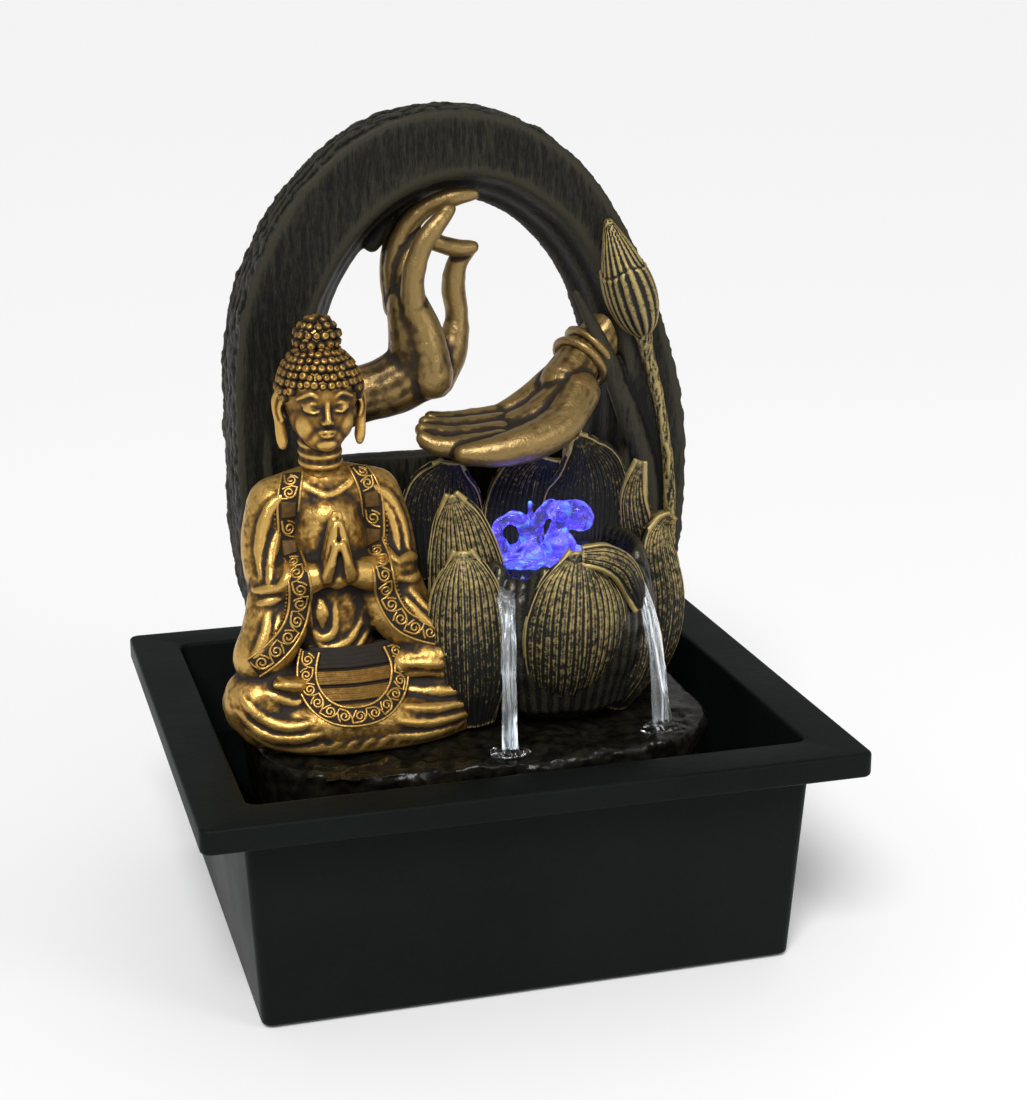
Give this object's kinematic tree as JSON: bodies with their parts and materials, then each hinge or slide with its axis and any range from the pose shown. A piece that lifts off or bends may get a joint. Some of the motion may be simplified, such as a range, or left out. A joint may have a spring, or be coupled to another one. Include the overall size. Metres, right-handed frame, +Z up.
{
  "type": "tabletop water fountain",
  "caption": "Tabletop water fountain: square-rimmed basin with a lift-off arch sculpture, seated figure, hands and lit lotus bowl over a small pump.",
  "frame": {"origin": "centre of the basin's footprint, on the surface that it stands on", "axes": "+X to the right, +Y to the back, +Z up; the sculpture faces -Y"},
  "size_m": [0.21, 0.184, 0.2675],
  "materials": {
    "basin_resin": "matt charcoal with a green cast, faintly textured",
    "rubber": "matt black",
    "black_plastic": "moulded black",
    "ceramic": "polished white ceramic",
    "silicone": "cloudy clear silicone",
    "clear_lens": "clear moulded lens",
    "rock_resin": "wet dark brown rock",
    "arch_resin": "charcoal, dry-brushed grey-brown",
    "bronze_finish": "dark antique bronze paint",
    "petal_finish": "black with gold dry-brushed ribs",
    "gold_finish": "antique gold paint with dark crevices"
  },
  "bodies": {
    "root": {"basin": "basin_resin", "foot_front_left": "rubber", "foot_front_right": "rubber", "foot_back_left": "rubber", "foot_back_right": "rubber", "cord_grommet": "rubber", "suction_cup_front_left": "rubber", "suction_cup_front_right": "rubber", "suction_cup_back_left": "rubber", "suction_cup_back_right": "rubber", "pump_housing": "black_plastic", "pump_head": "black_plastic", "rotor_shaft": "ceramic", "front_bush": "rubber", "rear_bush": "rubber"},
    "impeller": {"impeller": "black_plastic"},
    "intake_cover": {"intake_cover": "black_plastic"},
    "flow_dial": {"flow_dial": "black_plastic"},
    "sculpture": {"rock_base": "rock_resin", "arch": "arch_resin", "raised_hand": "bronze_finish", "open_hand": "bronze_finish", "bangle_upper": "bronze_finish", "bangle_lower": "bronze_finish", "lotus_bowl": "petal_finish", "petal_front": "petal_finish", "petal_front_right": "petal_finish", "petal_front_left": "petal_finish", "petal_left": "petal_finish", "petal_low_right": "petal_finish", "petal_right": "petal_finish", "petal_back_right": "petal_finish", "back_leaf_left": "petal_finish", "back_leaf_middle": "petal_finish", "back_leaf_right": "petal_finish", "lotus_bud": "petal_finish", "lotus_stem": "petal_finish", "figure_body": "gold_finish", "figure_head": "gold_finish", "water_nozzle": "black_plastic", "lamp_ring": "black_plastic", "lamp_lens": "clear_lens", "riser_tube": "silicone"}
  },
  "joints": [
    {"name": "sculpture_lift", "type": "slide", "parent": "root", "child": "sculpture", "axis": [0, 0, 1], "range_m": [0, 0.08]},
    {"name": "impeller_spin", "type": "hinge", "parent": "root", "child": "impeller", "pos_m": [0.027, -0.002, 0.0253], "axis": [0, 1, 0], "continuous": true},
    {"name": "intake_cover_pull", "type": "slide", "parent": "root", "child": "intake_cover", "axis": [0, -1, 0], "range_m": [0, 0.012]},
    {"name": "flow_dial_turn", "type": "hinge", "parent": "intake_cover", "child": "flow_dial", "pos_m": [0.027, -0.002, 0.0253], "axis": [0, -1, 0], "range_deg": [0, 90]}
  ]
}
